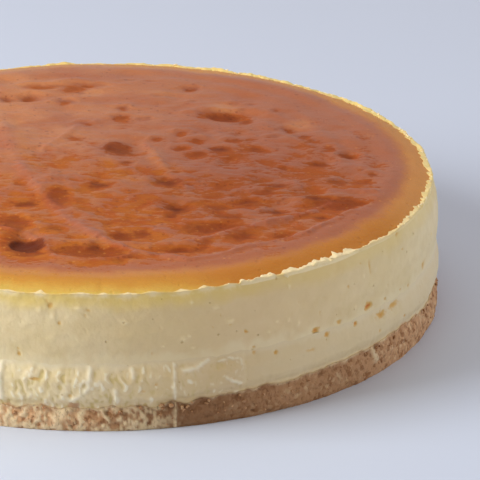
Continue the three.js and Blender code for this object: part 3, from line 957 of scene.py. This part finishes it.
def wallCream(s):
    material, nodes, shader = newMaterial("wall_cream", s["shader"])
    colour = nodes.clouded(s["colour"], s["drift"], 45.0, 0.8)
    colour = nodes.clouded(colour, s["cloud"], 190.0, 0.35)
    # painted shade: the wall right of the front, which the lamps light least, goes darker and yellower
    colour = nodes.tint(colour, s["sideShade"], "sideShade", 0.6)
    drift = nodes.math("SUBTRACT", nodes.noise(8.0, 2.0), 0.5)
    fromLip = nodes.math("MULTIPLY_ADD", drift, 0.5, nodes.mask("fromLip"))
    fromSeam = nodes.math("MULTIPLY_ADD", drift, 1.5, nodes.mask("fromSeam"))
    colour = nodes.mix(nodes.between(fromSeam, 0.05, 0.6, 0.6, 0.0), colour, s["foot"])
    lipTint = nodes.times(nodes.between(fromLip, 0.1, 0.8, 0.95, 0.0), nodes.mask("yellow"))
    colour = nodes.mix(lipTint, colour, s["underLip"])
    colour = nodes.mix(nodes.between(nodes.mask("fromLip"), 0.01, 0.08, 0.5, 0.0), colour, s["corner"])
    # the torn lip, flecks and dashes are painted pale: their own pale cream, brightened as a painted
    # highlight
    pale = nodes.math("MAXIMUM", nodes.mask("torn"), nodes.mask("fleck"))
    torn = nodes.mix(nodes.mask("tornYellow"), s["torn"], s["tornYellow"])
    colour = nodes.mix(nodes.times(pale, 0.9), colour, torn)
    finishCream(nodes, shader, s, colour)
    return material


upperCream = makeUpper(upperLook).data.materials[0]
print("upper cream ready")


# Flakes torn loose along the lip

flakeLook = {
    "count": 150,
    # mm: half sizes, then how far inside the lip and above the top
    "long": (0.4, 1.3),
    "thick": (0.25, 0.45),
    "inset": (-0.1, 1.0),
    "lift": (0.1, 0.6),
}


def unitBall():
    # points and faces of a ball of 80 faces
    shape = bmesh.new()
    bmesh.ops.create_icosphere(shape, subdivisions=2, radius=1.0)
    shape.verts.index_update()
    points = np.array([v.co[:] for v in shape.verts])
    faces = np.array([[v.index for v in f.verts] for f in shape.faces])
    shape.free()
    return points, faces


def scatterLumps(name, spots, material, masks, seed):
    # uneven lumps in one mesh; each spot is a place, a turn, and half sizes round, out and up
    random = np.random.default_rng(seed)
    ball, faces = unitBall()
    allPoints, allFaces = [], []
    for place, turn, size in spots:
        lump = ball * (1 + 0.35 * random.uniform(-1, 1, (len(ball), 1))) * size
        tilt = Matrix.Rotation(random.uniform(-0.7, 0.7), 3, "Y")
        spin = Matrix.Rotation(turn, 3, "Z")
        allFaces.append(faces + len(ball) * len(allPoints))
        allPoints.append(place + lump @ np.array(spin @ tilt).T)
    shell = {"place": np.concatenate(allPoints), "triangles": np.concatenate(allFaces)}
    masks = {mask: np.full(len(shell["place"]), value) for mask, value in masks.items()}
    return makePiece(name, shell, material, masks)


def makeFlakes(s):
    random = np.random.default_rng(14)
    spots = []
    while len(spots) < s["count"]:
        turn = random.uniform(-math.pi, math.pi)
        strength = float(tornShares(np.array([turn]))[2][0])
        if random.uniform() > strength ** 3:
            continue
        inset = random.uniform(*s["inset"]) * mm
        spot = np.array([[math.sin(turn), -math.cos(turn), 0]]) * (lipRadius(turn) - inset)
        place = ontoTop({"place": spot})["place"][0] + np.array([0, 0, random.uniform(*s["lift"]) * mm])
        long, thick = random.uniform(*s["long"]), random.uniform(*s["thick"])
        spots.append((place, turn, np.array([long, thick, 0.6 * thick + 0.15 * long]) * mm))
    return scatterLumps("lip_flakes", spots, upperCream, {"torn": 1.0, "fromLip": 0.5}, 15)


makeFlakes(flakeLook)
print("lip flakes ready")


# Lower cream: paler, and creased where the tin's lining lay against it

lowerLook = {
    "rows": 30,
    "under": (1.5 * mm, (1, 0, 0)),
    "over": (2.5 * mm, (-1, 0, 0)),
    "baseTurn": 5 * mm,
    "seamTurn": 7 * mm,
    "calm": 0.8 * mm,          # from both seams
    "smallHoles": (8, 90, 12, 24, (0.3, 0.7)),
    "creaseDepth": 0.3 * mm,
    "strandRise": 0.5 * mm,
    "liningEnd": 23.4,         # degrees from the front
    "liningFade": (-4, 15),
    "border": (3.0, 1.2),      # mm under the level line, where the creases fade out
    "holeDepth": 0.6 * mm,
    "shader": {**creamFlesh, "Roughness": 0.46, "Specular IOR Level": 0.45},
    "bubbles": (380.0, 0.14, 0.3),
    "grain": (1.4, 3.0),
    "bump": (0.25 * mm, 0.8),
    "colour": asSeen(240, 222, 182),
    "drift": asSeen(233, 212, 162),
    # painted highlight on crease ridges, strands and the band's top margin
    "ridge": asSeen(250, 240, 214),
    "creaseShade": asSeen(206, 182, 112),
    # painted shade inside the holes and bubbles, darker where deeper
    "hole": asSeen(220, 174, 96),
    "deepHoleShade": asSeen(206, 122, 52),
    "crumb": asSeen(207, 161, 120),
    # painted shade on the crumb right of the front
    "crumbShade": asSeen(144, 104, 73),
    "toasted": asSeen(162, 114, 76),
    "plain": asSeen(228, 206, 164),
    # painted shade, darker and yellower, where the lamps light the wall least
    "sideShade": asSeen(214, 184, 138),
}

# Holes in the lower wall, in the same columns; the last is how deep and dark, the dark painted as shade
# inside
lowerHoles = [
    (-11.3, 19.9, 2.4, 0.6, 0.55), (-5.6, 13.9, 0.8, 0.7, 0.4), (8.1, 17.6, 0.8, 0.7, 0.4),
    (6.1, 15.4, 1.4, 0.6, 0.3), (25, 24.6, 1.0, 0.8, 0.4), (28.9, 22.9, 0.9, 0.8, 0.6),
    (39.4, 24.2, 1.2, 0.9, 0.65), (46.1, 24.0, 1.0, 0.9, 0.8), (35.8, 20.4, 3.0, 0.7, 0.3),
    (53.0, 22.6, 3.0, 1.3, 0.6), (57.0, 23.4, 3.4, 1.4, 0.5), (52.2, 16.9, 1.0, 0.9, 0.35),
    (60.4, 16.6, 0.7, 0.6, 0.6),
]

# Strands of cream standing out of the wall: half width in mm, then degrees and mm up
strands = [
    (0.9, [(-2.3, 24.4), (-2.8, 17), (-3.6, 14.4), (-5.4, 12.2)]),
    (0.5, [(11.2, 24.6), (11.1, 16), (11.3, 11)]),
    (0.7, [(12.6, 21.8), (14.6, 22.2), (16.8, 24.8)]),
    (0.45, [(18.6, 23.6), (20.6, 24.4), (22.4, 23.5), (22.5, 21.5)]),
    (0.6, [(19.8, 17.5), (21.0, 15.6), (22.2, 14.4)]),
    (0.7, [(4.4, 23.6), (4.6, 20.6)]),
    (0.7, [(1.6, 16.4), (1.9, 11.2)]),
    (0.8, [(-16.8, 25), (-17.0, 18), (-16.7, 11)]),
]

# How much painted shade darkens the lower cream and the crumb, by degrees from the front
lowerSideShade = {-180: 0, -15: 0, -6: 0.25, 2: 0.7, 11: 1.1, 20: 1.6, 22.5: 1.5, 24: 0.8, 29: 0.5,
             44: 0.25, 60: 0.1, 75: 0, 180: 0}
baseShade = {-180: 0.3, -20: 0.1, -8: 0, 0: 0.3, 7: 1.1, 14: 1.15, 24: 0.8, 32: 0.5, 40: 0.55,
             47: 0.4, 60: 0, 180: 0.3}


def seamBorder(turn, height):
    # how far, in mm, the cream lies down over the crumb, or the crumb up over the cream as a minus
    uneven = 1 - 0.8 * smoothStep(1, 13, degreesFrom(turn, 0))
    return uneven * layered(turn, height, ((5.0, 4, 6, 2.7), (1.8, 1.4, 2, 5.3)))


def strandShare(turn, height, lines):
    spots = np.stack([alongWall(turn, 0), height], 1) / mm
    share = np.zeros(len(turn))
    uneven = 0.5 * wallLumps(turn, height, 1.5, 1.5, 7.2)
    for half, line in lines:
        points = [(math.radians(degrees) * cakeRadius / mm, z) for degrees, z in line]
        share = np.maximum(share, hump(np.maximum(awayFromLine(spots, points) + uneven, 0), half))
    return share


def makeLower(s):
    rings = hiddenFace(baseSeam, *s["under"])
    firstWall = len(rings)
    for ring in wallRings(lowerTree, s["rows"], lowerEdges, (baseSeam, levelSeam)):
        turn, height = ring["turn"], ring["place"][:, 2]
        drawnTo(ring, baseLine, smoothStep(s["baseTurn"], 0, height - baseSeam(turn)))
        rings.append(drawnTo(ring, levelLine, smoothStep(s["seamTurn"], 0, levelSeam(turn) - height)))
    firstInside = len(rings)
    rings += hiddenFace(levelSeam, *s["over"])[::-1]
    shell = shellOf(rings)

    turn, height = shell["turn"], shell["place"][:, 2].copy()
    wall = rowsOf(shell, firstWall, firstInside)
    lined = 1 - 0.4 * smoothStep(*s["liningFade"], degreesFrom(turn, 0))
    lined = np.where(degreesFrom(turn, s["liningEnd"]) < 0, lined, 0.2)
    bent = turn + np.radians(0.6) * wallLumps(turn, height, 6, 4, 4.4)
    upright = 0.9 * wallLumps(bent, height, 1.7, 5, 1.9)
    folds = np.abs(wallLumps(bent, height, 2.6, 4, 8.8))
    crossing = 0.8 * wallLumps(bent, height, 1.1, 1.7, 6.3) - 0.7 * folds
    fromLevel = (levelSeam(turn) - height) / mm + 1.6 * wallLumps(turn, height, 5, 5, 3.1)
    margin = smoothStep(*s["border"], fromLevel) * np.clip(lined, 0.5, 1)
    crease = np.clip(upright + crossing + 0.15, -1, 1) * lined * (1 - 0.9 * margin)
    strand = strandShare(turn, height, strands)
    holes, tone = wallMarks(turn, height, lowerHoles + seededMarks(*s["smallHoles"]))
    relief = s["creaseDepth"] * crease + s["strandRise"] * strand
    relief -= s["holeDepth"] * holes * (0.3 + 0.7 * tone)
    nearest = np.minimum(height - baseSeam(turn), levelSeam(turn) - height)
    raiseBy(shell, relief * wall * smoothStep(0, s["calm"], nearest))
    fromBase = (height - baseSeam(turn)) / mm + seamBorder(turn, height)
    # the strand mask also carries a painted highlight along the band's top margin
    masks = {"crease": 0.5 + 0.5 * crease, "strand": np.maximum(0.8 * strand, 0.25 * margin),
             "sideShade": byDegrees(turn, lowerSideShade), "plain": np.where(lined < 0.5, 1.0, 0.0),
             "hole": np.clip(tone * 1.2, 0, 1), "crumby": smoothStep(0.8, -0.8, fromBase),
             "crumbShade": byDegrees(turn, baseShade)}
    return makePiece("lower_cream", shell, linedCream(s), masks, "lower_filling")


def linedCream(s):
    material, nodes, shader = newMaterial("lined_cream", s["shader"])
    colour = nodes.clouded(s["colour"], s["drift"], 120.0, 0.8)
    colour = nodes.tint(colour, s["plain"], "plain", 0.7)
    # painted shade on the lower cream right of the front, as on the upper wall
    colour = nodes.tint(colour, s["sideShade"], "sideShade", 0.4)
    crease = nodes.mask("crease")
    # painted shade in the creases, and painted highlights on their ridges, the strands and the top margin
    colour = nodes.mix(nodes.between(crease, 0.12, 0.45, 0.7, 0.0), colour, s["creaseShade"])
    bright = nodes.math("MAXIMUM", nodes.between(crease, 0.58, 0.82, 0.0, 0.8), nodes.mask("strand"))
    colour = nodes.mix(bright, colour, s["ridge"])
    crumb = nodes.tint(s["crumb"], s["crumbShade"], "crumbShade", 0.75)
    crumb = nodes.clouded(crumb, s["toasted"], 600.0, 0.6)
    colour = nodes.tint(colour, crumb, "crumby", 0.85)
    finishCream(nodes, shader, s, colour)
    return material


makeLower(lowerLook)
print("lower cream ready")


# Crumb base: pressed biscuit crumb, with cream run down over its left

baseLook = {
    "rows": 24,
    "footIn": 1.6 * mm,        # how far the flat underside stops short of the wall
    "creamStart": (-178, -150),    # degrees from the front, where the run of cream begins and ends
    "creamEnd": (15, 6),
    "middle": 6 * mm,          # the height at which it is thinnest
    "over": (1 * mm, (-1, 0, 0.3)),
    "seamTurn": 5 * mm,
    "calm": 0.9 * mm,
    "grains": ((1, 1.3, 1.1, 2.2), (0.8, 2.6, 2, 5.1)),
    "smears": ((0.7, 2.2, 9, 7.4), (0.9, 1.1, 2.0, 3.8)),
    "smallPits": (9, 160, 1, 12, (0.3, 0.8)),
    "grainDepth": 0.26 * mm,
    "creamRise": 0.25 * mm,
    "dripRise": 0.35 * mm,
    "pitDepth": 0.6 * mm,
    "shader": {"Roughness": 0.8, "IOR": 1.4, "Specular IOR Level": 0.3, "Subsurface Weight": 0.1,
               "Subsurface Scale": 0.0006, "Subsurface Radius": (1.0, 0.6, 0.3)},
    "crumb": asSeen(207, 161, 120),
    "pale": asSeen(231, 196, 154),
    "toasted": asSeen(162, 114, 76),
    # painted shade on the crumb right of the front
    "crumbShade": asSeen(140, 101, 71),
    # painted shade between crumbs
    "gap": asSeen(100, 66, 44),
    "cream": asSeen(240, 218, 178),
}

baseDrips = [
    (0.5, [(11.3, 12), (11.25, 6), (11.3, 0.6)]),
    (1.8, [(-5.4, 12.2), (-6.0, 8), (-7.8, 4.2)]),
    (1.3, [(50.6, 13), (50.9, 9), (51.4, 6.4)]),
    (0.7, [(-0.9, 11), (-0.4, 7), (0.6, 4)]),
    (0.7, [(-12.4, 12), (-12.9, 8), (-13.6, 5)]),
]
basePits = [
    (49, 9.6, 1.2, 1.2, 1), (61, 5.9, 1.0, 0.8, 1), (38, 9.2, 1.0, 0.8, 0.7), (31.5, 9.6, 1.4, 0.8, 0.8),
]


def makeBase(s):
    rings = [ringOf(1, 0, 0), ringOf(wallCount, cakeRadius - s["footIn"], 0)]
    firstWall = len(rings)
    for ring in wallRings(baseTree, s["rows"], (floorLine, baseOver), (floorLine, baseSeam)):
        underSeam = baseSeam(ring["turn"]) - ring["place"][:, 2]
        rings.append(drawnTo(ring, baseLine, smoothStep(s["seamTurn"], 0, underSeam)))
    firstInside = len(rings)
    rings += hiddenFace(baseSeam, *s["over"])[::-1]
    shell = shellOf(rings)

    turn, height = shell["turn"], shell["place"][:, 2].copy()
    wall = rowsOf(shell, firstWall, firstInside)
    grains = layered(turn, height, s["grains"])
    degrees = degreesFrom(turn, 0)
    side = smoothStep(*s["creamEnd"], degrees) * smoothStep(*s["creamStart"], degrees)
    smear = layered(turn, height, s["smears"])
    drips = strandShare(turn, height, baseDrips)
    underSeam = (baseSeam(turn) - height) / mm - seamBorder(turn, height)
    creamed = smoothStep(-0.3, 0.35, smear + 0.5 * (abs(height / s["middle"] - 1) - 0.4)) * side
    creamed = np.maximum(np.maximum(creamed, drips), smoothStep(0.8, -0.8, underSeam))
    pits, _ = wallMarks(turn, height, basePits + seededMarks(*s["smallPits"]))
    relief = s["grainDepth"] * (grains - 0.3) * (1 - 0.5 * creamed) + s["creamRise"] * creamed
    relief += s["dripRise"] * drips - s["pitDepth"] * pits
    nearest = np.minimum(height + 0.5 * mm, baseSeam(turn) - height)
    raiseBy(shell, relief * wall * smoothStep(0, s["calm"], nearest))
    shell["place"][:, 2] = np.maximum(shell["place"][:, 2], 0)
    # painted shade in the hollows between crumbs and in the pits
    gap = np.maximum(-grains - 0.2, 0) * (1 - creamed) + pits
    masks = {"creamed": creamed, "gap": np.clip(gap, 0, 1), "crumbShade": byDegrees(turn, baseShade)}
    return makePiece("pressed_base", shell, pressedCrumb(s), masks, "crumb_base")


def pressedCrumb(s):
    material, nodes, shader = newMaterial("pressed_crumb", s["shader"])
    grains = nodes.cells(1.6)
    own = nodes.add("ShaderNodeSeparateColor", {"Color": grains["Color"]}).outputs[0]
    own = nodes.math("MULTIPLY_ADD", own, 0.7, -0.6)
    tone = nodes.math("MULTIPLY_ADD", nodes.noise(2.5, 3.0), 1.2, own)
    stops = [(0.0, s["toasted"]), (0.25, s["crumb"]), (0.55, s["crumb"]), (0.85, s["pale"])]
    colour = nodes.ramp(tone, stops)
    # painted shade: the crumb darkens where the lamps light it least
    colour = nodes.tint(colour, s["crumbShade"], "crumbShade", 0.75)
    colour = nodes.mix(nodes.between(nodes.mask("gap"), 0.1, 0.9, 0.0, 0.38), colour, s["gap"])
    colour = nodes.tint(colour, s["cream"], "creamed", 0.8)
    # painted shade along fine cracks
    cracks = nodes.between(nodes.noise(0.9, 3.0, 0.6, (1.0, 1.0, 2.2)), 0.44, 0.32, 0.0, 0.4)
    colour = nodes.mix(cracks, colour, s["gap"])
    nodes.put(shader["Base Color"], colour)
    height = nodes.math("SUBTRACT", nodes.noise(0.8, 3.0, 0.6), grains["Distance"])
    nodes.put(shader["Normal"], nodes.bump(height, 0.3 * mm, 0.8))
    return material


baseCrumb = makeBase(baseLook).data.materials[0]
print("crumb base ready")


# Loose crumbs stuck to the base's wall

crumbLook = {
    "count": 340,
    "height": (1, 11),     # mm up the wall
    "size": (0.3, 0.8),    # mm, half sizes
    "sunk": 0.45,          # the share that is sunk in
}


def makeCrumbs(s):
    random = np.random.default_rng(21)
    spots = []
    for _ in range(s["count"]):
        turn = random.uniform(-math.pi, math.pi)
        hit, outward = wallHit(baseTree, turn, random.uniform(*s["height"]) * mm)
        if hit is None:
            continue
        size = random.uniform(*s["size"]) * mm
        place = np.array(hit - outward * size * s["sunk"])
        shape = np.array([random.uniform(0.8, 1.3), 0.8, random.uniform(0.6, 1)])
        spots.append((place, turn, shape * size))
    return scatterLumps("loose_crumbs", spots, baseCrumb, {"crumbShade": 0.3}, 22)


makeCrumbs(crumbLook)
print("loose crumbs ready")


# Floor, light and camera

studio = {
    "floorSize": 12.0,
    "floorColour": asSeen(212, 220, 238),
    "worldFront": (0.375, 0.316, 0.22),
    "worldBack": (0.435, 0.415, 0.445),
    "lamps": {
        # name: where, width and height, watts, colour
        "window": ((-1.13, -0.26, 0.75), (0.8, 0.8), 19.5, (0.95, 0.985, 1.0)),
        "right": ((1.5, -0.06, 0.5), (0.9, 0.9), 7.5, (0.73, 0.83, 0.98)),
        "overhead": ((-0.4, 0.4, 1.9), (1.4, 1.4), 3.0, (1.0, 0.98, 0.95)),
    },
}

photoCamera = {
    "lens": 337.5,         # mm, on a sensor 36 mm wide
    "distance": 1.5861,    # in front of the cake's middle
    "height": 0.6543,
    "pitchDown": 21.72,    # degrees
    "yaw": 1.87,
    "roll": 0.10,
}


def makeFloor(s):
    half = s["floorSize"] / 2
    mesh = bpy.data.meshes.new("floor")
    corners = [(-half, -half, 0), (half, -half, 0), (half, half, 0), (-half, half, 0)]
    mesh.from_pydata(corners, [], [(0, 1, 2, 3)])
    mesh.materials.append(newMaterial("pale_floor", {"Roughness": 0.6, "Base Color": s["floorColour"]})[0])
    floor = bpy.data.objects.new("floor", mesh)
    scene.collection.objects.link(floor)


def makeLight(s):
    world = bpy.data.worlds.new("studio")
    world.use_nodes = True
    nodes = Nodes(world.node_tree)
    way = nodes.add("ShaderNodeTexCoord").outputs["Generated"]
    facing = nodes.add("ShaderNodeSeparateXYZ", {"Vector": way})
    share = nodes.between(facing.outputs["Y"], -0.6, 0.6)
    colour = nodes.mix(share, s["worldFront"] + (1.0,), s["worldBack"] + (1.0,))
    nodes.put(world.node_tree.nodes["Background"].inputs["Color"], colour)
    scene.world = world
    for name, (place, (width, tall), watts, colour) in s["lamps"].items():
        data = bpy.data.lights.new(name, "AREA")
        data.shape = "RECTANGLE"
        data.size, data.size_y, data.energy, data.color = width, tall, watts, colour
        lamp = bpy.data.objects.new(name, data)
        lamp.location = place
        lamp.rotation_euler = (-Vector(place)).to_track_quat("-Z", "Y").to_euler()
        lamp.visible_camera = False
        lamp.visible_glossy = name == "overhead"
        scene.collection.objects.link(lamp)


def makeCamera(s):
    pitch, yaw, roll = (math.radians(s[key]) for key in ("pitchDown", "yaw", "roll"))
    forward = Vector((math.sin(yaw) * math.cos(pitch), math.cos(yaw) * math.cos(pitch), -math.sin(pitch)))
    level = Vector((math.cos(yaw), -math.sin(yaw), 0))
    upright = level.cross(forward)
    right = math.cos(roll) * level + math.sin(roll) * upright
    up = math.cos(roll) * upright - math.sin(roll) * level
    data = bpy.data.cameras.new("photo_camera")
    data.lens, data.sensor_width, data.clip_end = s["lens"], 36, 50
    camera = bpy.data.objects.new("photo_camera", data)
    scene.collection.objects.link(camera)
    turned = Matrix((right, up, -forward)).transposed().to_4x4()
    camera.matrix_world = Matrix.Translation((0, -s["distance"], s["height"])) @ turned
    scene.camera = camera


makeFloor(studio)
makeLight(studio)
makeCamera(photoCamera)
scene.view_settings.view_transform = "Standard"
print("studio ready")
